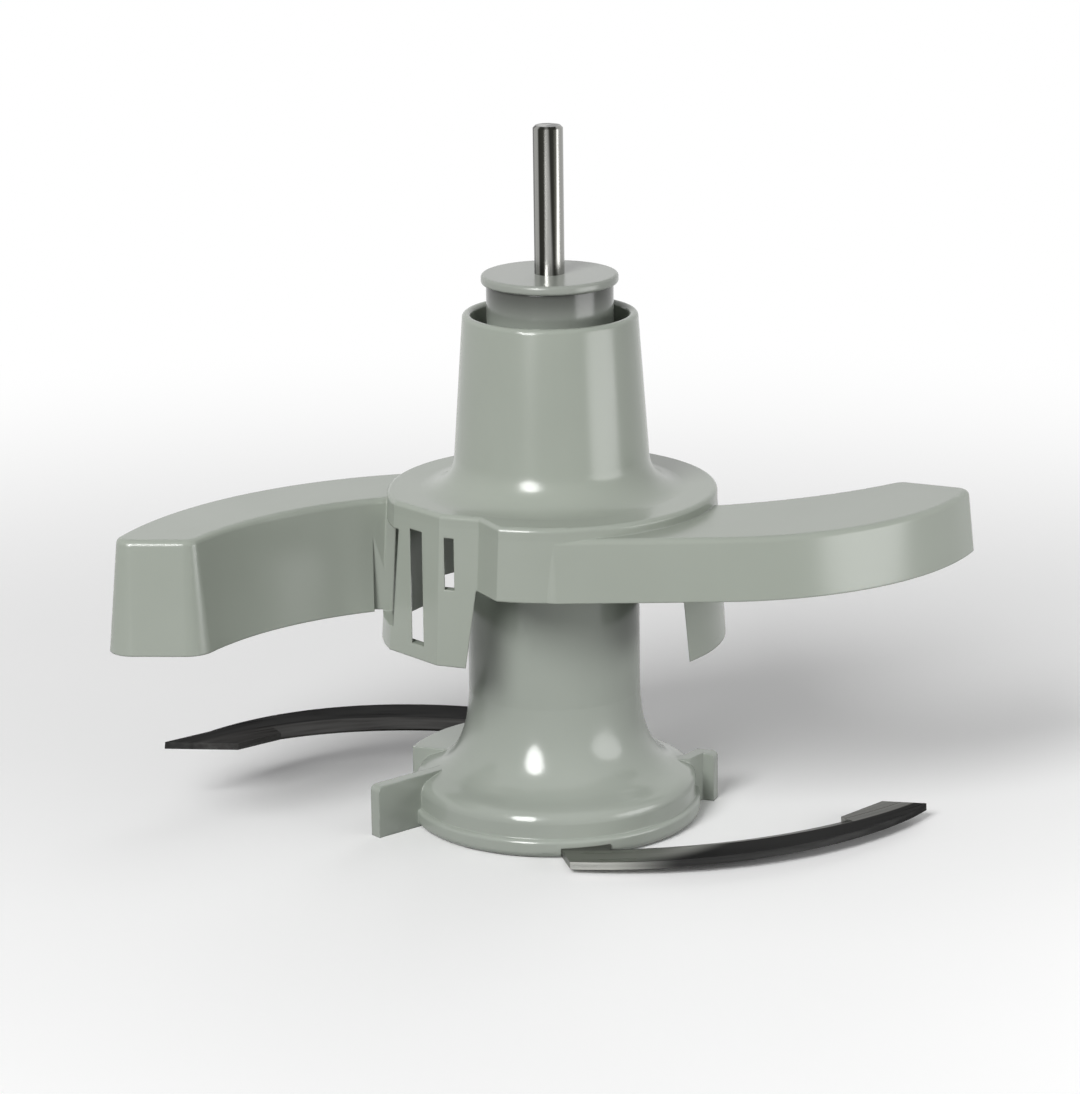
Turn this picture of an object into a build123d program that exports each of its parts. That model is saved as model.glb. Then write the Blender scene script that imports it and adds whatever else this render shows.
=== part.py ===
from build123d import *

import os
from math import cos, radians, sin, tan

# A two-tier tool for a food processor bowl. The knife hub stands on the bowl's drive and carries two
# sickle blades. A mixing tool with two curved arms drops over its spindle. Z runs up the spindle, from the
# plane that the hub's lip stands on. X points to the wide arm and Y away from the front opening. All sizes
# are millimetres.

# Knife hub
LIP_RADIUS = 29.8
LIP_HEIGHT = 3.8
LIP_WIDTH = 6.2
LIP_ROUND = 0.8
LIP_FOOT_ROUND = 1.5
BELL_RADIUS = 28.9
BELL_EDGE_Z = 6.8
BELL_SHOULDER = ((27.6, 9.2), (24.6, 10.4))
BELL_FLARE = ((22.0, 12.2), (20.0, 15.0), (18.5, 19.0))
STEM_RADIUS = 17.5
STEM_FOOT_Z = 27.0
SEAT_Z = 66.6
HUB_WALL = 2.2
WEB_THICKNESS = 2.4
SPINDLE_RADIUS = 12.7
SPINDLE_WALL = 2.2
SPINDLE_TOP_Z = 110.8
SPINDLE_FOOT_RADIUS = 13.8
SPINDLE_FOOT_HEIGHT = 12.0
SPLINE_COUNT = 6
SPLINE_WIDTH = 3.0
SPLINE_DEPTH = 1.2
SOCKET_TUBE_WALL = 2.4
SOCKET_TUBE_Z = 1.0
RIB_COUNT = 6
RIB_THICKNESS = 1.8

# Wings, two upright plates on the lip, each along a line of plan points from inside the bell to its tip
WING_THICKNESS = 2.6
WING_CORNER = 1.2
LEFT_WING_HEIGHT = 10.8
LEFT_WING_LINE = ((-22.4, -3.2), (-36.6, -15.2))
RIGHT_WING_HEIGHT = 10.2
RIGHT_WING_LINE = ((22.0, 1.0), (27.0, 2.4), (30.0, 6.4), (33.2, 5.2))

# Blades, drawn in plan for the lower one: a crescent between two circles whose lowest points lie one blade
# width apart, a tang that the hub holds, and a tip given by its heel and its point
BLADE_THICKNESS = 1.5
BLADE_BELLY = (17.2, -39.9)
BLADE_WIDTH = 11.9
BLADE_OUTER_RADIUS = 70.2
BLADE_INNER_RADIUS = 76.4
BLADE_INNER_SHIFT = -1.7
BLADE_ROOT_ANGLE = -102.0
BLADE_SHOULDER_ANGLE = -38.0
BLADE_HEEL_ANGLE = -56.5
BLADE_TANG_ANGLE = -93.5
BLADE_TANG = ((9.5, -23.6), (0.0, -25.0))
LOWER_BLADE_TIP = ((66.8, -5.8), (75.6, -8.4))
UPPER_BLADE_TIP = ((66.0, -7.4), (81.0, -4.9))
GRIND_WIDTH = 4.0
GRIND_EDGE = 0.4
BLADE_PIVOT = (20.0, -31.0)
BLADE_CHORD_ANGLE = 26.5
BLADE_PITCH_ANGLE = 2.5
LOWER_BLADE_Z = 1.2
LOWER_BLADE_RISE_ANGLE = 0.4
UPPER_BLADE_Z = 7.9
UPPER_BLADE_RISE_ANGLE = 4.2

# Boss behind the bell that holds the upper blade's root, and the raised shelf beside it
BOSS_FOOT_Z = 2.8
BOSS_INNER_RADIUS = 19.0
BOSS_OUTER_RADIUS = 39.2
BOSS_START_ANGLE = 84.0
BOSS_END_ANGLE = 117.0
BOSS_COVER = 1.6
SHELF_OUTER_RADIUS = 31.0
SHELF_END_ANGLE = 163.0
SHELF_TOP_Z = 11.0

# Drive coupling in the foot of the hub
COUPLING_RADIUS = 7.6
COUPLING_BORE_RADIUS = 5.0
COUPLING_LENGTH = 24.0
COUPLING_FLANGE = 1.2
COUPLING_FLANGE_THICKNESS = 1.0
GROOVE_COUNT = 6
GROOVE_WIDTH = 0.9
GROOVE_DEPTH = 0.8

# Spindle cap and steel pin
CAP_RADIUS = 13.7
CAP_THICKNESS = 1.9
CAP_ROUND = 0.6
CAP_PLUG_LENGTH = 8.0
CAP_PLUG_WALL = 2.0
PIN_RADIUS = 3.0
PIN_SHANK_RADIUS = 2.6
PIN_STAND = 29.6
PIN_SOCKET_DEPTH = 14.0
PIN_BOSS_WALL = 2.2
PIN_BOSS_FLOOR = 1.6
PIN_CHAMFER = 0.5

# Mixing tool: flange, sleeve and skirt
FLANGE_RADIUS = 33.3
FLANGE_THICKNESS = 2.5
FLANGE_ROUND = 0.9
SLEEVE_RIM_RADIUS = 17.6
SLEEVE_FOOT_RADIUS = 19.6
SLEEVE_HEIGHT = 35.8
SLEEVE_WALL = 1.8
FLARE_RADIUS = 7.0
SEAT_CLEARANCE = 0.2
SKIRT_WALL = 2.0
SKIRT_BOTTOM_Z = 38.5
SKIRT_DRAFT = 3.4
FACET_START = (-31.55, -10.65)
FACET_CORNER = (-22.3, -21.4)
FACET_END = (-14.5, -24.4)
FACET_STEP = (-10.6, -31.57)

# Openings in the skirt: the front and back gaps have slanting sides, given at their bottom and top
FRONT_GAP_BOTTOM_X = (-17.8, 27.0)
FRONT_GAP_TOP_X = (-15.2, 25.4)
BACK_GAP_BOTTOM_X = (-27.0, 17.8)
BACK_GAP_TOP_X = (-25.4, 15.2)
SIDE_SLOT_Y = (-11.9, -1.4)
SIDE_SLOT_Z = (43.5, 63.6)
WIDE_SLOT_X = (-28.3, -25.9)
WIDE_SLOT_Z = (41.4, 64.4)
SHORT_SLOT_X = (-21.4, -19.5)
SHORT_SLOT_Z = (54.0, 64.4)
SLOT_REACH = 3.0

# Arms: the deep arm sweeps to the left, the wide arm to the right
ARM_STEP = 2.3
ARM_WALL = 2.0
ARM_DRAFT = 5.5
ARM_ROUND = 1.2
ARM_CORNER = 3.0
DEEP_ARM_DEPTH = 22.9
WIDE_ARM_DEPTH = 12.5
DEEP_ARM_OUTER = ((-22.0, 22.0), (-63.3, 5.3), (-86.2, -29.6))
DEEP_ARM_INNER = ((-70.0, -30.4), (-54.0, -10.5), (-27.0, 1.8))
WIDE_ARM_START_X = -9.0
WIDE_ARM_BEND_X = 33.0
WIDE_ARM_TIP = (85.0, 2.8)
WIDE_ARM_INNER = ((71.0, 9.4), (50.0, -2.4), (27.0, -8.4))

# Worked out from the sizes above
flange_top_z = SEAT_Z + FLANGE_THICKNESS
arm_top_z = flange_top_z - ARM_STEP
skirt_depth = SEAT_Z - SKIRT_BOTTOM_Z
cavity_radius = STEM_RADIUS - HUB_WALL
socket_tube_radius = COUPLING_RADIUS + SOCKET_TUBE_WALL
web_bottom_z = SEAT_Z - WEB_THICKNESS
spindle_bore_radius = SPINDLE_RADIUS - SPINDLE_WALL
cap_top_z = SPINDLE_TOP_Z + CAP_THICKNESS
pin_boss_radius = PIN_SHANK_RADIUS + PIN_BOSS_WALL
pin_bottom_z = cap_top_z - PIN_SOCKET_DEPTH
slot_depth = FLANGE_RADIUS + SLOT_REACH
outer_centre = (BLADE_BELLY[0], BLADE_BELLY[1] + BLADE_OUTER_RADIUS)
inner_centre = (BLADE_BELLY[0] + BLADE_INNER_SHIFT, BLADE_BELLY[1] + BLADE_WIDTH + BLADE_INNER_RADIUS)


def on_circle(centre, radius, angle):
    """The point of a circle at an angle from X, in degrees."""
    return (centre[0] + radius * cos(radians(angle)), centre[1] + radius * sin(radians(angle)))


def sector(inner_radius, outer_radius, start_angle, end_angle):
    """The flat ring sector between two angles."""
    angles = (start_angle, (start_angle + end_angle) / 2, end_angle)
    outer = [on_circle((0, 0), outer_radius, a) for a in angles]
    inner = [on_circle((0, 0), inner_radius, a) for a in reversed(angles)]
    with BuildSketch() as ring_sector:
        with BuildLine():
            ThreePointArc(*outer)
            Line(outer[2], inner[0])
            ThreePointArc(*inner)
            Line(inner[2], outer[0])
        make_face()
    return ring_sector.sketch


def blade_outline(tip):
    """A blade in plan: two arcs, a tip with a heel and a point, and a tang at the root."""
    outer_angles = (BLADE_ROOT_ANGLE, (BLADE_ROOT_ANGLE + BLADE_SHOULDER_ANGLE) / 2, BLADE_SHOULDER_ANGLE)
    inner_angles = (BLADE_HEEL_ANGLE, (BLADE_HEEL_ANGLE + BLADE_TANG_ANGLE) / 2, BLADE_TANG_ANGLE)
    outer = [on_circle(outer_centre, BLADE_OUTER_RADIUS, a) for a in outer_angles]
    inner = [on_circle(inner_centre, BLADE_INNER_RADIUS, a) for a in inner_angles]
    heel, point = tip
    with BuildSketch() as crescent:
        with BuildLine():
            ThreePointArc(*outer)
            Polyline(outer[2], point, heel, inner[0])
            ThreePointArc(*inner)
            Polyline(inner[2], *BLADE_TANG, outer[0])
        make_face()
    return crescent.sketch


def blade(tip, height, rise, turn):
    """A blade, ground along its inner edge, pitched about its chord, raised and turned to its side."""
    outward = (cos(radians(BLADE_TANG_ANGLE)), sin(radians(BLADE_TANG_ANGLE)), 0)
    across = Plane((*inner_centre, 0), x_dir=outward, z_dir=(outward[1], -outward[0], 0))
    grind_slope = (BLADE_THICKNESS - GRIND_EDGE) / GRIND_WIDTH
    outer_reach = BLADE_INNER_RADIUS + GRIND_WIDTH + BLADE_THICKNESS / grind_slope
    inner_reach = BLADE_INNER_RADIUS - BLADE_THICKNESS
    with BuildPart() as flat_blade:
        with BuildSketch():
            add(blade_outline(tip))
        extrude(amount=BLADE_THICKNESS)
        with BuildSketch(across):
            with BuildLine():
                Polyline(
                    (inner_reach, GRIND_EDGE - BLADE_THICKNESS * grind_slope),
                    (outer_reach, 2 * BLADE_THICKNESS),
                    (inner_reach, 2 * BLADE_THICKNESS),
                    close=True,
                )
            make_face()
        grind_axis = Axis((*inner_centre, 0), (0, 0, 1))
        revolve(axis=grind_axis, revolution_arc=BLADE_HEEL_ANGLE - BLADE_TANG_ANGLE, mode=Mode.SUBTRACT)
    chord = (cos(radians(BLADE_CHORD_ANGLE)), sin(radians(BLADE_CHORD_ANGLE)), 0)
    pitched = flat_blade.part.rotate(Axis((*BLADE_PIVOT, 0), chord), -BLADE_PITCH_ANGLE)
    raised = pitched.rotate(Axis((*BLADE_PIVOT, 0), (0, 1, 0)), -rise)
    return raised.moved(Location((0, 0, height))).rotate(Axis.Z, turn)


def wing(line, height):
    """An upright plate that follows a line of plan points, with its upper outer corner rounded."""
    with BuildPart() as plate:
        with BuildSketch():
            with BuildLine():
                Polyline(*line)
            trace(line_width=WING_THICKNESS)
        extrude(amount=height)
        end_edges = plate.edges().group_by(Axis.Z)[-1].sort_by_distance((*line[-1], height))
        fillet(end_edges[0], WING_CORNER)
    return plate.part


# Lower blade, low on the front of the lip
with BuildPart() as lower_blade:
    add(blade(LOWER_BLADE_TIP, LOWER_BLADE_Z, LOWER_BLADE_RISE_ANGLE, 0))

# Upper blade, opposite and higher, with its tip raised
with BuildPart() as upper_blade:
    add(blade(UPPER_BLADE_TIP, UPPER_BLADE_Z, UPPER_BLADE_RISE_ANGLE, 180))

# Knife hub: lip, bell, stem and spindle, hollow from below, with a ribbed socket tube down its middle
foot_top_z = SEAT_Z + SPINDLE_FOOT_HEIGHT
with BuildPart() as knife_hub:
    with BuildSketch(Plane.XZ):
        with BuildLine():
            Polyline(
                (0, 0),
                (LIP_RADIUS, 0),
                (LIP_RADIUS, LIP_HEIGHT),
                (BELL_RADIUS, LIP_HEIGHT),
                (BELL_RADIUS, BELL_EDGE_Z),
            )
            Spline((BELL_RADIUS, BELL_EDGE_Z), *BELL_SHOULDER, *BELL_FLARE, (STEM_RADIUS, STEM_FOOT_Z))
            Polyline(
                (STEM_RADIUS, STEM_FOOT_Z),
                (STEM_RADIUS, SEAT_Z),
                (SPINDLE_FOOT_RADIUS, SEAT_Z),
                (SPINDLE_FOOT_RADIUS, foot_top_z),
                (SPINDLE_RADIUS, foot_top_z + SPINDLE_FOOT_RADIUS - SPINDLE_RADIUS),
                (SPINDLE_RADIUS, SPINDLE_TOP_Z),
                (0, SPINDLE_TOP_Z),
                (0, 0),
            )
        make_face()
    revolve(axis=Axis.Z)
    rim_edges = knife_hub.edges().filter_by(GeomType.CIRCLE).filter_by(lambda e: e.radius > BELL_RADIUS)
    fillet(rim_edges.group_by(Axis.Z)[0], LIP_FOOT_ROUND)
    rim_edges = knife_hub.edges().filter_by(GeomType.CIRCLE).filter_by(lambda e: e.radius > BELL_RADIUS)
    fillet(rim_edges.group_by(Axis.Z)[-1], LIP_ROUND)

    # Boss and shelf for the upper blade
    boss_top_z = UPPER_BLADE_Z + BLADE_THICKNESS + BOSS_COVER
    with BuildSketch(Plane.XY.offset(BOSS_FOOT_Z)):
        add(sector(BOSS_INNER_RADIUS, BOSS_OUTER_RADIUS, BOSS_START_ANGLE, BOSS_END_ANGLE))
    extrude(amount=boss_top_z - BOSS_FOOT_Z)
    with BuildSketch(Plane.XY.offset(BOSS_FOOT_Z)):
        add(sector(BOSS_INNER_RADIUS, SHELF_OUTER_RADIUS, BOSS_START_ANGLE, SHELF_END_ANGLE))
    extrude(amount=SHELF_TOP_Z - BOSS_FOOT_Z)

    # Wings
    add(wing(LEFT_WING_LINE, LEFT_WING_HEIGHT))
    add(wing(RIGHT_WING_LINE, RIGHT_WING_HEIGHT))

    # Hollow of the bell and stem, and the bore of the spindle
    with BuildSketch(Plane.XZ):
        with BuildLine():
            hollow_foot = (LIP_RADIUS - LIP_WIDTH, 0)
            hollow_lip = (LIP_RADIUS - LIP_WIDTH, BELL_EDGE_Z)
            Polyline((cavity_radius, web_bottom_z), (0, web_bottom_z), (0, 0), hollow_foot, hollow_lip)
            Spline(
                hollow_lip,
                *[(radius - HUB_WALL, z - HUB_WALL / 2) for radius, z in BELL_FLARE],
                (cavity_radius, STEM_FOOT_Z),
            )
            Line((cavity_radius, STEM_FOOT_Z), (cavity_radius, web_bottom_z))
        make_face()
    revolve(axis=Axis.Z, mode=Mode.SUBTRACT)
    with Locations((0, 0, (web_bottom_z + SPINDLE_TOP_Z) / 2)):
        Cylinder(spindle_bore_radius, SPINDLE_TOP_Z - web_bottom_z, mode=Mode.SUBTRACT)

    # Socket tube, and the ribs that tie it to the shell
    with BuildSketch(Plane.XY.offset(SOCKET_TUBE_Z)):
        Circle(socket_tube_radius)
        with PolarLocations((socket_tube_radius + cavity_radius) / 2, RIB_COUNT):
            Rectangle(cavity_radius - socket_tube_radius + HUB_WALL, RIB_THICKNESS)
    extrude(amount=SEAT_Z - SOCKET_TUBE_Z)
    with BuildSketch(Plane.XY.offset(SOCKET_TUBE_Z)):
        Circle(COUPLING_RADIUS)
    extrude(amount=SEAT_Z - SOCKET_TUBE_Z, mode=Mode.SUBTRACT)

    # Splines on the spindle's foot
    with BuildSketch(Plane.XY.offset(SEAT_Z)):
        with PolarLocations(SPINDLE_FOOT_RADIUS, SPLINE_COUNT):
            Rectangle(2 * SPLINE_DEPTH, SPLINE_WIDTH)
    extrude(amount=SPINDLE_FOOT_HEIGHT)

    # Pockets that the blade roots are moulded into
    add(lower_blade.part, mode=Mode.SUBTRACT)
    add(upper_blade.part, mode=Mode.SUBTRACT)

# Drive coupling: a splined bush pressed into the socket tube
with BuildPart() as drive_coupling:
    with BuildSketch(Plane.XY.offset(SOCKET_TUBE_Z)):
        Circle(COUPLING_RADIUS)
        Circle(COUPLING_BORE_RADIUS, mode=Mode.SUBTRACT)
        with PolarLocations(COUPLING_BORE_RADIUS, GROOVE_COUNT):
            Rectangle(2 * GROOVE_DEPTH, GROOVE_WIDTH, mode=Mode.SUBTRACT)
    extrude(amount=COUPLING_LENGTH)
    with BuildSketch(Plane.XY.offset(SOCKET_TUBE_Z)):
        Circle(COUPLING_RADIUS + COUPLING_FLANGE)
        Circle(COUPLING_BORE_RADIUS, mode=Mode.SUBTRACT)
        with PolarLocations(COUPLING_BORE_RADIUS, GROOVE_COUNT):
            Rectangle(2 * GROOVE_DEPTH, GROOVE_WIDTH, mode=Mode.SUBTRACT)
    extrude(amount=-COUPLING_FLANGE_THICKNESS)

# Spindle cap: a disc with a hollow plug, and a boss that grips the pin
with BuildPart() as spindle_cap:
    with BuildSketch(Plane.XZ):
        with BuildLine():
            plug_bottom_z = SPINDLE_TOP_Z - CAP_PLUG_LENGTH
            boss_bottom_z = pin_bottom_z - PIN_BOSS_FLOOR
            Polyline(
                (PIN_SHANK_RADIUS, cap_top_z),
                (CAP_RADIUS, cap_top_z),
                (CAP_RADIUS, SPINDLE_TOP_Z),
                (spindle_bore_radius, SPINDLE_TOP_Z),
                (spindle_bore_radius, plug_bottom_z),
                (spindle_bore_radius - CAP_PLUG_WALL, plug_bottom_z),
                (spindle_bore_radius - CAP_PLUG_WALL, SPINDLE_TOP_Z),
                (pin_boss_radius, SPINDLE_TOP_Z),
                (pin_boss_radius, boss_bottom_z),
                (0, boss_bottom_z),
                (0, pin_bottom_z),
                (PIN_SHANK_RADIUS, pin_bottom_z),
                close=True,
            )
        make_face()
    revolve(axis=Axis.Z)
    rim_edges = spindle_cap.edges().filter_by(GeomType.CIRCLE).filter_by(lambda e: e.radius == CAP_RADIUS)
    fillet(rim_edges, CAP_ROUND)

# Steel pin: its shank is pressed into the cap and its shoulder rests on top
with BuildPart() as steel_pin:
    with BuildSketch(Plane.XY.offset(pin_bottom_z)):
        Circle(PIN_SHANK_RADIUS)
    extrude(amount=PIN_SOCKET_DEPTH)
    with BuildSketch(Plane.XY.offset(cap_top_z)):
        Circle(PIN_RADIUS)
    extrude(amount=PIN_STAND)
    chamfer(steel_pin.edges().group_by(Axis.Z)[-1], PIN_CHAMFER)


def tool_rim(inset):
    """The mixing tool's rim, a circle with two flats and a step at the front left, drawn in by an inset."""
    with BuildSketch() as rim:
        with BuildLine():
            ThreePointArc(FACET_STEP, (0, FLANGE_RADIUS), FACET_START)
            Polyline(FACET_START, FACET_CORNER, FACET_END, FACET_STEP)
        make_face()
        if inset:
            offset(amount=-inset, kind=Kind.INTERSECTION)
    return rim.sketch


def deep_arm_top():
    """The deep arm seen from above: two arcs and a straight end with rounded corners."""
    with BuildSketch() as top:
        with BuildLine():
            ThreePointArc(*DEEP_ARM_OUTER)
            Line(DEEP_ARM_OUTER[2], DEEP_ARM_INNER[0])
            ThreePointArc(*DEEP_ARM_INNER)
            Line(DEEP_ARM_INNER[2], DEEP_ARM_OUTER[0])
        make_face()
        fillet(top.vertices(), ARM_CORNER)
    return top.sketch


def wide_arm_top():
    """The wide arm seen from above: a straight start at the rim, a bend, and an end with rounded corners."""
    start = (WIDE_ARM_START_X, -FLANGE_RADIUS)
    bend = (WIDE_ARM_BEND_X, -FLANGE_RADIUS)
    with BuildSketch() as top:
        with BuildLine():
            Line(start, bend)
            TangentArc(bend, WIDE_ARM_TIP, tangent=(1, 0))
            Line(WIDE_ARM_TIP, WIDE_ARM_INNER[0])
            ThreePointArc(*WIDE_ARM_INNER)
            Line(WIDE_ARM_INNER[2], start)
        make_face()
        fillet(top.vertices().sort_by_distance(bend)[1:], ARM_CORNER)
    return top.sketch


def arm(top, depth):
    """An arm as a drafted channel, open below and rounded above, drawn from its wider lower edge up."""
    spread = depth * tan(radians(ARM_DRAFT))
    with BuildPart() as channel:
        with BuildSketch(Plane.XY.offset(arm_top_z - depth)):
            add(top)
            offset(amount=spread)
        extrude(amount=depth, taper=ARM_DRAFT)
        fillet(channel.edges().group_by(Axis.Z)[-1], ARM_ROUND)
        with BuildSketch(Plane.XY.offset(arm_top_z - depth)):
            add(top)
            offset(amount=spread - ARM_WALL)
        extrude(amount=depth - ARM_WALL, taper=ARM_DRAFT, mode=Mode.SUBTRACT)
    return channel.part


def skirt_gap(bottom_x, top_x, top_z):
    """A gap with slanting sides, seen from the front."""
    bottom_z = SKIRT_BOTTOM_Z - SKIRT_WALL
    with BuildSketch() as gap:
        with BuildLine():
            left, right = [((low, bottom_z), (high, top_z)) for low, high in zip(bottom_x, top_x)]
            Polyline(*left, *reversed(right), close=True)
        make_face()
    return gap.sketch


# Mixing tool: flange, sleeve, skirt and two arms in one moulding
with BuildPart() as mixing_tool:
    add(arm(deep_arm_top(), DEEP_ARM_DEPTH))
    add(arm(wide_arm_top(), WIDE_ARM_DEPTH))

    # Skirt wall below the rim
    with BuildSketch(Plane.XY.offset(SEAT_Z)):
        add(tool_rim(0))
    extrude(amount=-skirt_depth, taper=-SKIRT_DRAFT)
    with BuildSketch(Plane.XY.offset(SEAT_Z)):
        add(tool_rim(SKIRT_WALL))
    extrude(amount=-skirt_depth, taper=-SKIRT_DRAFT, mode=Mode.SUBTRACT)

    # Gaps at the front and back, closed above by the arms' outer walls
    with BuildSketch(Plane.XZ):
        add(skirt_gap(FRONT_GAP_BOTTOM_X, FRONT_GAP_TOP_X, arm_top_z - WIDE_ARM_DEPTH))
    extrude(amount=slot_depth, mode=Mode.SUBTRACT)
    with BuildSketch(Plane.XZ):
        add(skirt_gap(BACK_GAP_BOTTOM_X, BACK_GAP_TOP_X, arm_top_z - DEEP_ARM_DEPTH))
    extrude(amount=-slot_depth, mode=Mode.SUBTRACT)

    # Slots of the comb, the same on both sides
    for side in (1, -1):
        for slot_x, slot_z in ((WIDE_SLOT_X, WIDE_SLOT_Z), (SHORT_SLOT_X, SHORT_SLOT_Z)):
            with BuildSketch(Plane.XZ):
                with Locations((side * sum(slot_x) / 2, sum(slot_z) / 2)):
                    Rectangle(slot_x[1] - slot_x[0], slot_z[1] - slot_z[0])
            extrude(amount=side * slot_depth, mode=Mode.SUBTRACT)
        with BuildSketch(Plane.YZ):
            with Locations((side * sum(SIDE_SLOT_Y) / 2, sum(SIDE_SLOT_Z) / 2)):
                Rectangle(SIDE_SLOT_Y[1] - SIDE_SLOT_Y[0], SIDE_SLOT_Z[1] - SIDE_SLOT_Z[0])
        extrude(amount=-side * slot_depth, mode=Mode.SUBTRACT)

    # Flange plate
    with BuildSketch(Plane.XY.offset(SEAT_Z)):
        add(tool_rim(0))
    extrude(amount=FLANGE_THICKNESS)
    flange_edges = mixing_tool.edges().group_by(Axis.Z)[-1]
    fillet(flange_edges, FLANGE_ROUND)

    # Sleeve, with a flare down to the flange and a rounded rim
    with BuildSketch(Plane.XZ):
        with BuildLine():
            flare_start = (SLEEVE_FOOT_RADIUS + FLARE_RADIUS, flange_top_z)
            flare_end = (SLEEVE_FOOT_RADIUS, flange_top_z + FLARE_RADIUS)
            rim_outer = (SLEEVE_RIM_RADIUS, flange_top_z + SLEEVE_HEIGHT - SLEEVE_WALL / 2)
            rim_inner = (SLEEVE_RIM_RADIUS - SLEEVE_WALL, flange_top_z + SLEEVE_HEIGHT - SLEEVE_WALL / 2)
            rim_top = (SLEEVE_RIM_RADIUS - SLEEVE_WALL / 2, flange_top_z + SLEEVE_HEIGHT)
            inner_foot = (SLEEVE_FOOT_RADIUS - SLEEVE_WALL, flange_top_z)
            Line((inner_foot[0], SEAT_Z), (flare_start[0], SEAT_Z))
            Line((flare_start[0], SEAT_Z), flare_start)
            RadiusArc(flare_start, flare_end, FLARE_RADIUS)
            Line(flare_end, rim_outer)
            ThreePointArc(rim_outer, rim_top, rim_inner)
            Line(rim_inner, inner_foot)
            Line(inner_foot, (inner_foot[0], SEAT_Z))
        make_face()
    revolve(axis=Axis.Z)

    # Bore over the spindle, with notches for its splines
    bore_radius = SPINDLE_FOOT_RADIUS + SEAT_CLEARANCE
    with BuildSketch(Plane.XY.offset(SEAT_Z)):
        Circle(bore_radius)
        with PolarLocations(bore_radius, SPLINE_COUNT):
            Rectangle(2 * SPLINE_DEPTH, SPLINE_WIDTH + 2 * SEAT_CLEARANCE)
    extrude(amount=FLANGE_THICKNESS + SLEEVE_HEIGHT, mode=Mode.SUBTRACT)

knife_hub.part.label = "knife_hub"
lower_blade.part.label = "lower_blade"
upper_blade.part.label = "upper_blade"
drive_coupling.part.label = "drive_coupling"
spindle_cap.part.label = "spindle_cap"
steel_pin.part.label = "steel_pin"
mixing_tool.part.label = "mixing_tool"

os.makedirs("parts", exist_ok=True)
export_step(knife_hub.part, "parts/knife_hub.step")
export_step(lower_blade.part, "parts/lower_blade.step")
export_step(upper_blade.part, "parts/upper_blade.step")
export_step(drive_coupling.part, "parts/drive_coupling.step")
export_step(spindle_cap.part, "parts/spindle_cap.step")
export_step(steel_pin.part, "parts/steel_pin.step")
export_step(mixing_tool.part, "parts/mixing_tool.step")
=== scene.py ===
# %% [markdown]
# # A two-tier food processor tool
# The object is a knife hub with two sickle blades, and a mixing tool with two curved arms that drops over
# the hub's spindle. A steel pin stands on top. The solids are already packed at their real size, in metres,
# with Z up the spindle. They are loaded first, and everything else is fitted round them.

# %% Load the solids
import math

import bmesh
import bpy
from mathutils import Matrix, Vector


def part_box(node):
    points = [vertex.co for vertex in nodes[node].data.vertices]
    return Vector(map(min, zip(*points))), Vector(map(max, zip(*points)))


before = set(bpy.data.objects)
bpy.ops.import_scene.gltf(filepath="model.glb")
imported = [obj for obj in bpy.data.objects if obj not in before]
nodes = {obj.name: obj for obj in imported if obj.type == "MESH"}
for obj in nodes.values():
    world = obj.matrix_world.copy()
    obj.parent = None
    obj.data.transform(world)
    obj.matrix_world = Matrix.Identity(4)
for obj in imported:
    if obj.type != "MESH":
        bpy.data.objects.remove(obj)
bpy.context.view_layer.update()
print("pieces:", sorted(nodes))

# %% [markdown]
# ## The camera
# The photograph looks at the tool from the front and a little above, through a long lens, so that the rims
# are flat ellipses. The camera stands 0.75 m in front of the spindle and 0.27 m up, and looks down by 15.6
# degrees. Its small turn and tilt come from the spindle, which leans by less than one degree in the
# photograph.

# %% Camera
CAMERA_PLACE = (0.0, -0.750, 0.2655)
LOOK_DOWN = math.radians(15.59)
TURN = math.radians(0.20)
TILT = math.radians(-0.76)
LENS_MM = 126.53
SENSOR_MM = 36.0
FARTHEST_VIEW = 20.0

lens = bpy.data.cameras.new("camera")
lens.lens = LENS_MM
lens.sensor_width = SENSOR_MM
lens.sensor_fit = "AUTO"
lens.clip_end = FARTHEST_VIEW
camera = bpy.data.objects.new("camera", lens)
turn = Matrix.Rotation(TURN, 4, "Z")
look = Matrix.Rotation(math.pi / 2 - LOOK_DOWN, 4, "X")
tilt = Matrix.Rotation(TILT, 4, "Z")
camera.matrix_world = Matrix.Translation(CAMERA_PLACE) @ turn @ look @ tilt
bpy.context.scene.collection.objects.link(camera)
bpy.context.scene.camera = camera
print("camera looks down by", round(math.degrees(LOOK_DOWN), 2), "degrees")

# %% [markdown]
# ## Helpers for node materials
# Every finish below is a Principled shader with a few nodes in front of it. These helpers make one node
# with its numbers, or one short chain, so that each finish reads as a recipe. Patterns are soft: a noise
# never leaves its middle range for long, and an easing ramp has no hard step, so no patch shows an outline.

# %% Make nodes


def new_finish(name):
    """A material with one Principled shader. Returns the material, its node tree and the shader."""
    finish = bpy.data.materials.new(name)
    finish.use_nodes = True
    tree = finish.node_tree
    return finish, tree, tree.nodes["Principled BSDF"]


def node(tree, kind, **inputs):
    """A node of one kind, with numbers set on its own sockets."""
    made = tree.nodes.new(kind)
    for socket, value in inputs.items():
        made.inputs[socket.replace("_", " ")].default_value = value
    return made


def plug(tree, value, socket):
    """Links a node's output to a socket, or sets a plain number or colour on it."""
    if isinstance(value, bpy.types.NodeSocket):
        tree.links.new(value, socket)
    else:
        socket.default_value = value


# %% Patterns and places


def noise(tree, vector, scale, detail=2.0):
    """Noise along given coordinates, in cycles per metre."""
    made = node(tree, "ShaderNodeTexNoise", Scale=scale, Detail=detail, Roughness=0.5)
    tree.links.new(vector, made.inputs["Vector"])
    return made.outputs["Fac"]


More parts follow.
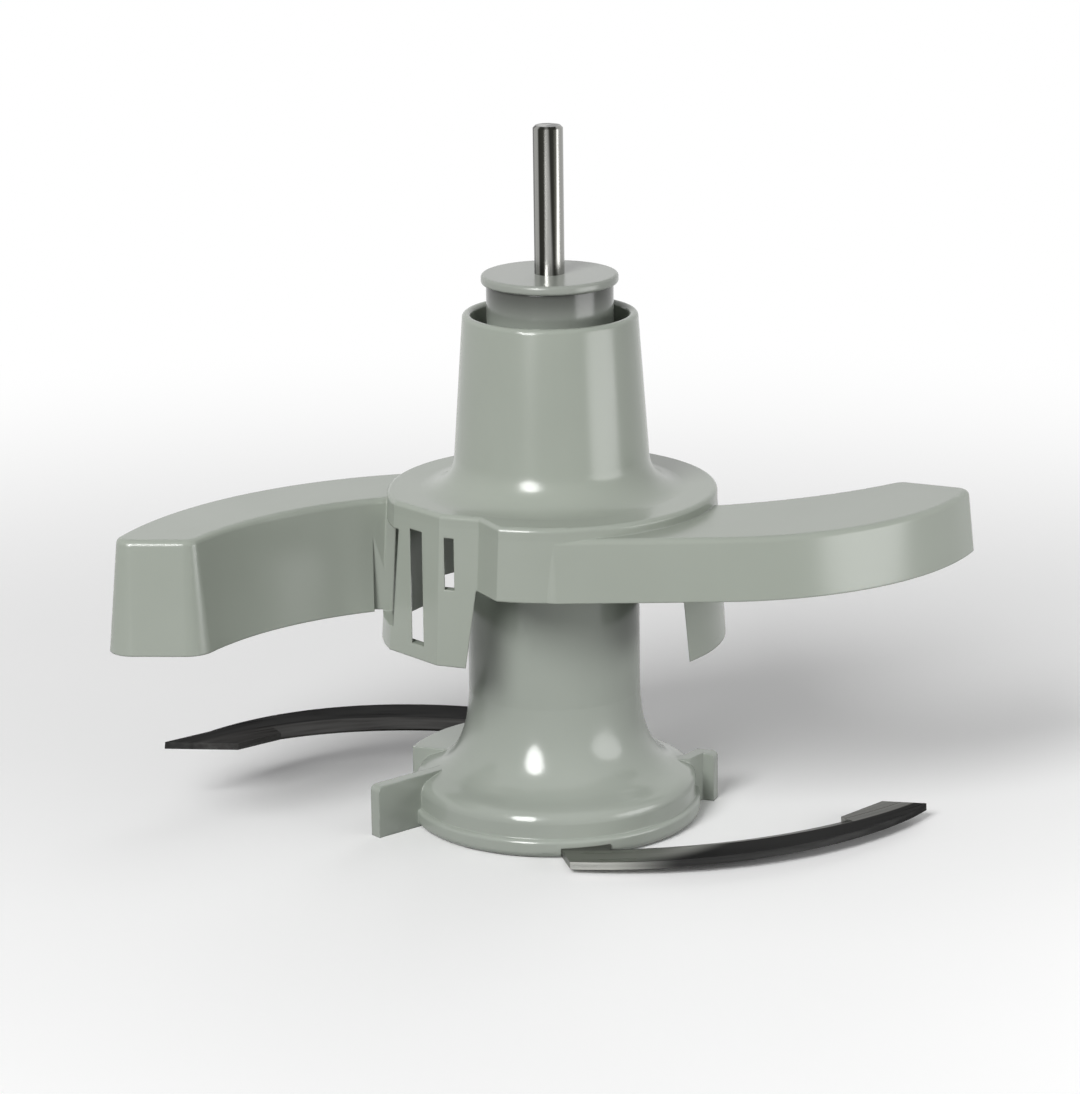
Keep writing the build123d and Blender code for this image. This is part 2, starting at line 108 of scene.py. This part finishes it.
def own_place(tree, stretch=(1.0, 1.0, 1.0), shift=(0.0, 0.0, 0.0)):
    """The piece's own coordinates, shrunk along the axes where the real mark is long."""
    place = tree.nodes.new("ShaderNodeTexCoord")
    sizes = node(tree, "ShaderNodeMapping", Scale=stretch, Location=shift)
    tree.links.new(place.outputs["Object"], sizes.inputs["Vector"])
    return sizes.outputs["Vector"]


def own_height(tree):
    """The height of each point of the piece, in metres."""
    place = tree.nodes.new("ShaderNodeTexCoord")
    parted = tree.nodes.new("ShaderNodeSeparateXYZ")
    tree.links.new(place.outputs["Object"], parted.inputs["Vector"])
    return parted.outputs["Z"]


# %% Ranges and tones


def spread(tree, source, low, high):
    """Maps a 0 to 1 pattern to a narrow range, for roughness and other plain numbers."""
    ranged = node(tree, "ShaderNodeMapRange", To_Min=low, To_Max=high)
    tree.links.new(source, ranged.inputs["Value"])
    return ranged.outputs["Result"]


def step(tree, source, start, end):
    """Goes softly from 0 at the start to 1 at the end of a range."""
    ranged = node(tree, "ShaderNodeMapRange", From_Min=start, From_Max=end)
    ranged.interpolation_type = "SMOOTHSTEP"
    tree.links.new(source, ranged.inputs["Value"])
    return ranged.outputs["Result"]


def tone(tree, source, dark, light, start=0.2, end=0.8):
    """Maps a 0 to 1 pattern to a colour between two tones, with a soft start and end."""
    ramp = tree.nodes.new("ShaderNodeValToRGB")
    ramp.color_ramp.interpolation = "EASE"
    ramp.color_ramp.elements[0].position = start
    ramp.color_ramp.elements[0].color = (*dark, 1.0)
    ramp.color_ramp.elements[1].position = end
    ramp.color_ramp.elements[1].color = (*light, 1.0)
    tree.links.new(source, ramp.inputs["Fac"])
    return ramp.outputs["Color"]


def mixed(tree, factor, first, second):
    """One colour where the factor is 0, and another where it is 1."""
    made = tree.nodes.new("ShaderNodeMix")
    made.data_type = "RGBA"
    tree.links.new(factor, made.inputs["Factor"])
    plug(tree, first, made.inputs["A"])
    plug(tree, second, made.inputs["B"])
    return made.outputs["Result"]


def relief(tree, source, height, strength, base_normal=None):
    """Turns a pattern into a bump of a real height in metres."""
    bump = node(tree, "ShaderNodeBump", Strength=strength, Distance=height)
    tree.links.new(source, bump.inputs["Height"])
    if base_normal is not None:
        tree.links.new(base_normal, bump.inputs["Normal"])
    return bump.outputs["Normal"]


# %% [markdown]
# ## Grey plastic
# The hub, the mixing tool and the cap are moulded in one glossy grey plastic with a faint green tint. A
# real moulding is never one flat colour: its tone drifts slowly, its gloss varies where it flowed, its skin
# has a fine orange peel, and every edge is a little round and catches the light. A Bevel node rounds the
# edges in the shading alone, so the solids keep their exact shape.

# %% Grey plastic
DRIFT_SCALE = 30.0
FLOW_SCALE = 90.0
FLOW_STRETCH = (1.0, 1.0, 0.35)
PEEL_SCALE = 1400.0
PEEL_HEIGHT = 0.00001
PEEL_STRENGTH = 0.2
GLOSS_CHANGE = 0.06
EDGE_ROUND = 0.00045
EDGE_SAMPLES = 8
PLASTIC_IOR = 1.46


def grey_plastic(name, dark, light, shine):
    """Glossy moulded plastic between two close tones, with its roughness about the given shine."""
    finish, tree, shader = new_finish(name)
    place = own_place(tree)
    drift = noise(tree, place, DRIFT_SCALE)
    flow = noise(tree, own_place(tree, FLOW_STRETCH), FLOW_SCALE)
    peel = noise(tree, place, PEEL_SCALE)
    gloss = spread(tree, flow, shine - GLOSS_CHANGE, shine + GLOSS_CHANGE)
    soft_edge = node(tree, "ShaderNodeBevel", Radius=EDGE_ROUND)
    soft_edge.samples = EDGE_SAMPLES
    skin = relief(tree, peel, PEEL_HEIGHT, PEEL_STRENGTH, soft_edge.outputs["Normal"])
    tree.links.new(tone(tree, drift, dark, light), shader.inputs["Base Color"])
    tree.links.new(gloss, shader.inputs["Roughness"])
    tree.links.new(skin, shader.inputs["Normal"])
    shader.inputs["IOR"].default_value = PLASTIC_IOR
    return finish


hub_plastic = grey_plastic("hub_plastic", (0.340, 0.370, 0.328), (0.365, 0.395, 0.353), 0.17)
tool_plastic = grey_plastic("tool_plastic", (0.320, 0.350, 0.303), (0.345, 0.375, 0.328), 0.22)
cap_plastic = grey_plastic("cap_plastic", (0.280, 0.300, 0.268), (0.305, 0.325, 0.292), 0.22)
print("plastic finishes:", hub_plastic.name, tool_plastic.name, cap_plastic.name)

# %% [markdown]
# ## Painted shade on the neck
# The spindle's top shows between the mixing tool's rim and the cap. It is darker there than the rest of the
# hub, most of all close under the cap, and that darkness is painted shade: the cap's shadow is painted into
# the colour. The hub's own height tells where that is, so its colour is mixed with a dark tone that sets in
# softly below the spindle's top.

# %% Painted shade on the neck
NECK_SHADE_REACH = 0.0095
# The neck's dark tone is painted shade, the cap's shadow on the spindle.
PAINTED_NECK_SHADE = (0.070, 0.075, 0.066, 1.0)


def paint_shade_below_top(finish, top, reach, dark):
    """Paints shade into a finish: a dark tone from none at the reach below the top to all of it at the top.
    """
    tree = finish.node_tree
    colour = tree.nodes["Principled BSDF"].inputs["Base Color"]
    clean = colour.links[0].from_socket
    # The mask of painted shade: none below the reach, all of it at the spindle's top.
    painted_shade = step(tree, own_height(tree), top - reach, top)
    tree.links.new(mixed(tree, painted_shade, clean, dark), colour)


spindle_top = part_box("knife_hub")[1][2]
paint_shade_below_top(hub_plastic, spindle_top, NECK_SHADE_REACH, PAINTED_NECK_SHADE)
print("the neck darkens up to a height of", round(spindle_top, 4))

# %% [markdown]
# ## Coordinates that follow a circle
# The belt that polishes a blade leaves lines along its curve. They are easy in round coordinates: the
# distance from an upright axis, the way round it, and the height. The distance is the length of the flat
# vector from the axis, and a radial gradient gives the way round as a number from 0 to 1. That number is
# scaled down, so that a noise hardly changes along the circle and draws long lines.

# %% Round coordinates
WAY_ROUND = 0.010


def from_axis(tree, axis=(0.0, 0.0)):
    """The flat vector from an upright axis to each point, and its length."""
    centred = own_place(tree, shift=(-axis[0], -axis[1], 0.0))
    flat = node(tree, "ShaderNodeMapping", Scale=(1.0, 1.0, 0.0))
    tree.links.new(centred, flat.inputs["Vector"])
    distance = tree.nodes.new("ShaderNodeVectorMath")
    distance.operation = "LENGTH"
    tree.links.new(flat.outputs["Vector"], distance.inputs[0])
    return flat.outputs["Vector"], distance.outputs["Value"]


def along_circle(tree, flat, distance):
    """Coordinates of distance, way round and height, for long lines along a circle."""
    around = tree.nodes.new("ShaderNodeTexGradient")
    around.gradient_type = "RADIAL"
    tree.links.new(flat, around.inputs["Vector"])
    joined = tree.nodes.new("ShaderNodeCombineXYZ")
    tree.links.new(distance, joined.inputs["X"])
    tree.links.new(spread(tree, around.outputs["Fac"], 0.0, WAY_ROUND), joined.inputs["Y"])
    tree.links.new(own_height(tree), joined.inputs["Z"])
    return joined.outputs["Vector"]


# %% [markdown]
# ## Blade steel
# The blades are polished steel, drawn here as thin dark sheet with fine lines along them from the polishing
# belt. Their near-black tone is a painted reflection, the dark room that the real steel mirrors. Along the
# inner side a narrow band is ground to the cutting edge. The band is found from the circle that the edge
# follows: what lies within four millimetres of that circle is ground. The upper blade is the lower one
# turned
# half round the spindle, so its circle has the opposite centre. The band's tone is a painted reflection
# too:
# bright on the lower blade, dark on the upper one. Close to the hub the lower blade's root is painted pale,
# a painted reflection of the hub's grey plastic. The dark edge tint keeps the steel from turning white
# where it is seen nearly edge on.

# %% Blade steel
EDGE_CIRCLE = (0.0155, 0.0484)
EDGE_RADIUS = 0.0764
GROUND_WIDTH = 0.0040
GROUND_BLUR = 0.0002
# The root's painted reflection fades in between these distances from the spindle.
ROOT_REFLECTION_START = 0.0465
ROOT_REFLECTION_END = 0.0400
BELT_SCALE = 1100.0
BELT_DETAIL = 3.0
BELT_HEIGHT = 0.00001
BELT_STRENGTH = 0.25
BELT_ROUGHNESS = (0.20, 0.42)
EDGE_TINT = (0.40, 0.40, 0.40, 1.0)
# Painted reflections: the near-black sheet for the dark room the steel mirrors, the pale root for the hub's
# plastic, and a bright or dark ground band.
PAINTED_DARK_SHEET = ((0.032, 0.032, 0.032), (0.056, 0.056, 0.055))
PAINTED_PALE_ROOT = ((0.380, 0.385, 0.360), (0.460, 0.465, 0.435))
PAINTED_BRIGHT_GRIND = ((0.200, 0.200, 0.190), (0.300, 0.300, 0.285))
PAINTED_DARK_GRIND = ((0.040, 0.039, 0.038), (0.075, 0.074, 0.072))


def blade_steel(name, side, root_reflection, grind_reflection):
    """Blade steel whose tones are painted reflections. The side is 1 or -1, for the edge's circle, and each
    tone is a dark and a light.
    """
    finish, tree, shader = new_finish(name)
    flat, distance = from_axis(tree, (side * EDGE_CIRCLE[0], side * EDGE_CIRCLE[1]))
    belt = noise(tree, along_circle(tree, flat, distance), BELT_SCALE, BELT_DETAIL)
    from_spindle = from_axis(tree)[1]
    # Painted reflection: the lower blade's root is pale close to the hub.
    reflection_near_hub = step(tree, from_spindle, ROOT_REFLECTION_START, ROOT_REFLECTION_END)
    sheet_reflection = mixed(tree, reflection_near_hub, tone(tree, belt, *PAINTED_DARK_SHEET), tone(tree, belt, *root_reflection))
    band_end = EDGE_RADIUS + GROUND_WIDTH
    in_band = step(tree, distance, band_end + GROUND_BLUR, band_end - GROUND_BLUR)
    # The ground band's tone is a painted reflection, bright on the lower blade and dark on the upper.
    colour = mixed(tree, in_band, sheet_reflection, tone(tree, belt, *grind_reflection))
    tree.links.new(colour, shader.inputs["Base Color"])
    tree.links.new(spread(tree, belt, *BELT_ROUGHNESS), shader.inputs["Roughness"])
    tree.links.new(relief(tree, belt, BELT_HEIGHT, BELT_STRENGTH), shader.inputs["Normal"])
    shader.inputs["Metallic"].default_value = 1.0
    shader.inputs["Specular Tint"].default_value = EDGE_TINT
    return finish


# Painted reflections: the lower blade gets a pale root and a bright band, the upper one dark tones
# throughout.
lower_steel = blade_steel("lower_blade_steel", 1, PAINTED_PALE_ROOT, PAINTED_BRIGHT_GRIND)
upper_steel = blade_steel("upper_blade_steel", -1, PAINTED_DARK_SHEET, PAINTED_DARK_GRIND)
print("blade finishes:", lower_steel.name, upper_steel.name)

# %% [markdown]
# ## Pin steel and coupling steel
# The pin is drawn round bar. On a real bench it mirrors the room in long dark and bright stripes along its
# whole length; the white studio has no such room, so the stripes are painted reflections in its colour. A
# noise that is stretched far along the height gives them, and it has no seam on any side. A small shift
# along
# X sets which bands face the camera. The coupling is machined steel, hidden in the hub's foot, with fine
# lines along its bore and fainter painted reflection bands of the same kind.

# %% Bar steel
REFLECTION_BAND_STRETCH = (1.0, 1.0, 0.02)
REFLECTION_BAND_SHIFT = (0.0405, 0.0, 0.0)
REFLECTION_BAND_START = 0.44
REFLECTION_BAND_END = 0.56
HAIR_SCALE = 6000.0
HAIR_HEIGHT = 0.000004
HAIR_STRENGTH = 0.2
HAIR_SMOOTHER = 0.05
HAIR_ROUGHER = 0.08


def bar_steel(name, dark, light, width, shine):
    """Steel with upright painted reflection bands about as wide as given, one dark and one light to a cycle
    of the noise.
    """
    finish, tree, shader = new_finish(name)
    along = own_place(tree, REFLECTION_BAND_STRETCH, REFLECTION_BAND_SHIFT)
    # Painted reflections: upright dark and light stripes in the steel's colour.
    reflection_bands = noise(tree, along, 1 / (2 * width), detail=0.0)
    hair = noise(tree, along, HAIR_SCALE)
    colour = tone(tree, reflection_bands, dark, light, REFLECTION_BAND_START, REFLECTION_BAND_END)
    gloss = spread(tree, hair, shine - HAIR_SMOOTHER, shine + HAIR_ROUGHER)
    tree.links.new(colour, shader.inputs["Base Color"])
    tree.links.new(gloss, shader.inputs["Roughness"])
    tree.links.new(relief(tree, hair, HAIR_HEIGHT, HAIR_STRENGTH), shader.inputs["Normal"])
    shader.inputs["Metallic"].default_value = 1.0
    return finish


pin_steel = bar_steel("pin_steel", (0.026, 0.026, 0.022), (0.300, 0.300, 0.285), 0.0012, 0.24)
coupling_steel = bar_steel("coupling_steel", (0.300, 0.300, 0.290), (0.420, 0.420, 0.405), 0.0010, 0.32)
print("bar finishes:", pin_steel.name, coupling_steel.name)

# %% [markdown]
# ## Each piece and its finish
# The solids have the right shape already, so no mesh is made for them. A material could be appended to each
# mesh, but its faces point at the slots that it came with, so the finish goes into those slots.

# %% Give each piece its finish
FINISHES = {
    "knife_hub": hub_plastic,
    "mixing_tool": tool_plastic,
    "spindle_cap": cap_plastic,
    "lower_blade": lower_steel,
    "upper_blade": upper_steel,
    "steel_pin": pin_steel,
    "drive_coupling": coupling_steel,
}
for piece_name, finish in FINISHES.items():
    for slot in nodes[piece_name].material_slots:
        slot.material = finish
print("finished pieces:", len(FINISHES))

# %% [markdown]
# ## Rays that look, and rays that light
# A white studio that is bright enough to look white would also light the tool from all sides and wash it
# out. So the floor and the world are pale to the rays that look at them, straight or in a mirror or through
# glass, and darker to the rays that carry their light back to the tool. The Light Path node tells the rays
# apart.

# %% Looking rays


def looking(tree):
    """1 for camera, glossy and transmission rays, and 0 for the rest."""
    rays = tree.nodes.new("ShaderNodeLightPath")
    total = rays.outputs["Is Camera Ray"]
    for kind in ("Is Glossy Ray", "Is Transmission Ray"):
        either = tree.nodes.new("ShaderNodeMath")
        either.operation = "MAXIMUM"
        tree.links.new(total, either.inputs[0])
        tree.links.new(rays.outputs[kind], either.inputs[1])
        total = either.outputs["Value"]
    return total


# %% [markdown]
# ## Paper for the floor
# Near the tool the floor is plain paper, lit by the lamps, so that it keeps the tool's shadow. Farther away
# the lamps grow weak, and the paper fades into an even white of strength 1, but only for the rays that
# look.

# %% Pale paper
MOTTLE_SCALE = 8.0
PAPER_WHITE = ((0.97, 0.97, 0.97), (0.99, 0.99, 0.99))
PAPER_BOUNCE = (0.30, 0.30, 0.30, 1.0)
PAPER_ROUGHNESS = 0.9
PAPER_SPECULAR = 0.1
WHITE = (1.0, 1.0, 1.0, 1.0)
FADE_START = 0.08
FADE_END = 0.45


def pale_paper():
    """Matt white paper that fades into plain white away from the spindle."""
    finish, tree, shader = new_finish("pale_paper")
    look_at = looking(tree)
    mottle = noise(tree, own_place(tree), MOTTLE_SCALE)
    sheet = mixed(tree, look_at, PAPER_BOUNCE, tone(tree, mottle, *PAPER_WHITE))
    tree.links.new(sheet, shader.inputs["Base Color"])
    shader.inputs["Roughness"].default_value = PAPER_ROUGHNESS
    shader.inputs["Specular IOR Level"].default_value = PAPER_SPECULAR
    far_off = step(tree, from_axis(tree)[1], FADE_START, FADE_END)
    share = tree.nodes.new("ShaderNodeMath")
    share.operation = "MULTIPLY"
    tree.links.new(far_off, share.inputs[0])
    tree.links.new(look_at, share.inputs[1])
    glow = node(tree, "ShaderNodeEmission", Color=WHITE, Strength=1.0)
    blend = tree.nodes.new("ShaderNodeMixShader")
    tree.links.new(share.outputs["Value"], blend.inputs["Fac"])
    tree.links.new(shader.outputs["BSDF"], blend.inputs[1])
    tree.links.new(glow.outputs["Emission"], blend.inputs[2])
    tree.links.new(blend.outputs["Shader"], tree.nodes["Material Output"].inputs["Surface"])
    return finish


# %% [markdown]
# ## Floor
# The tool stands on a floor that fills the whole picture. A curved backdrop would do too, but from this
# height the camera sees hardly any wall, so one large quad is enough.

# %% Floor
FLOOR_REACH = 3.0

floor_mesh = bpy.data.meshes.new("floor")
shape = bmesh.new()
bmesh.ops.create_grid(shape, x_segments=1, y_segments=1, size=FLOOR_REACH)
shape.to_mesh(floor_mesh)
shape.free()
floor = bpy.data.objects.new("floor", floor_mesh)
bpy.context.scene.collection.objects.link(floor)
floor_mesh.materials.append(pale_paper())
print("the floor is", 2 * FLOOR_REACH, "m wide")

# %% [markdown]
# ## Light
# The highlights on the bell and the lip tell where a window stood: a tall soft box, a little left of the
# camera, from just above the table to about forty degrees up. It is only there to be reflected. The light
# itself comes from a soft lamp that stands higher at the left, and puts the mixing tool's shadow on the
# stem below it. A low pale card at the right lifts the right flank, and a weak lamp behind keeps the tool's
# back readable. The high lamp and the one behind are left out of reflections, because the photograph shows
# only one highlight on each curve.

# %% Lamps
CENTRE = (0.0, 0.0, 0.06)


def soft_lamp(name, place, width, height, watts, lights=True, shines=True):
    """An oval area lamp aimed at the tool. It may be kept from lighting, or from showing in reflections."""
    light = bpy.data.lights.new(name, "AREA")
    light.shape = "ELLIPSE"
    light.size = width
    light.size_y = height
    light.energy = watts
    lamp = bpy.data.objects.new(name, light)
    aim = (Vector(CENTRE) - Vector(place)).to_track_quat("-Z", "Y")
    lamp.matrix_world = Matrix.Translation(place) @ aim.to_matrix().to_4x4()
    lamp.visible_camera = False
    lamp.visible_diffuse = lights
    lamp.visible_glossy = shines
    bpy.context.scene.collection.objects.link(lamp)
    return lamp


lamps = [
    soft_lamp("soft_box", (-0.36, -0.74, 0.37), width=0.32, height=0.56, watts=9.0, lights=False),
    soft_lamp("right_card", (0.272, -0.127, 0.062), width=0.22, height=0.12, watts=0.30),
    soft_lamp("high_left", (-0.38, -0.64, 0.60), width=0.45, height=0.45, watts=6.9, shines=False),
    soft_lamp("back_fill", (0.30, 0.75, 0.28), width=0.50, height=0.40, watts=1.8, shines=False),
]
print("lamps:", [lamp.name for lamp in lamps])

# %% [markdown]
# ## World
# The world is the air of a white room. It fills the shadows with a quarter of white, and looks fully white
# behind the floor and in the steel.

# %% World
WORLD_FILL = 0.25

world = bpy.data.worlds.new("studio")
world.use_nodes = True
bpy.context.scene.world = world
air = world.node_tree
fill = air.nodes["Background"]
fill.inputs["Color"].default_value = WHITE
air.links.new(spread(air, looking(air), WORLD_FILL, 1.0), fill.inputs["Strength"])
print("world strength:", WORLD_FILL)

# %% [markdown]
# ## Finish
# The colours are written as they should look, so the view transform is the plain one.

# %% View
bpy.context.scene.view_settings.view_transform = "Standard"
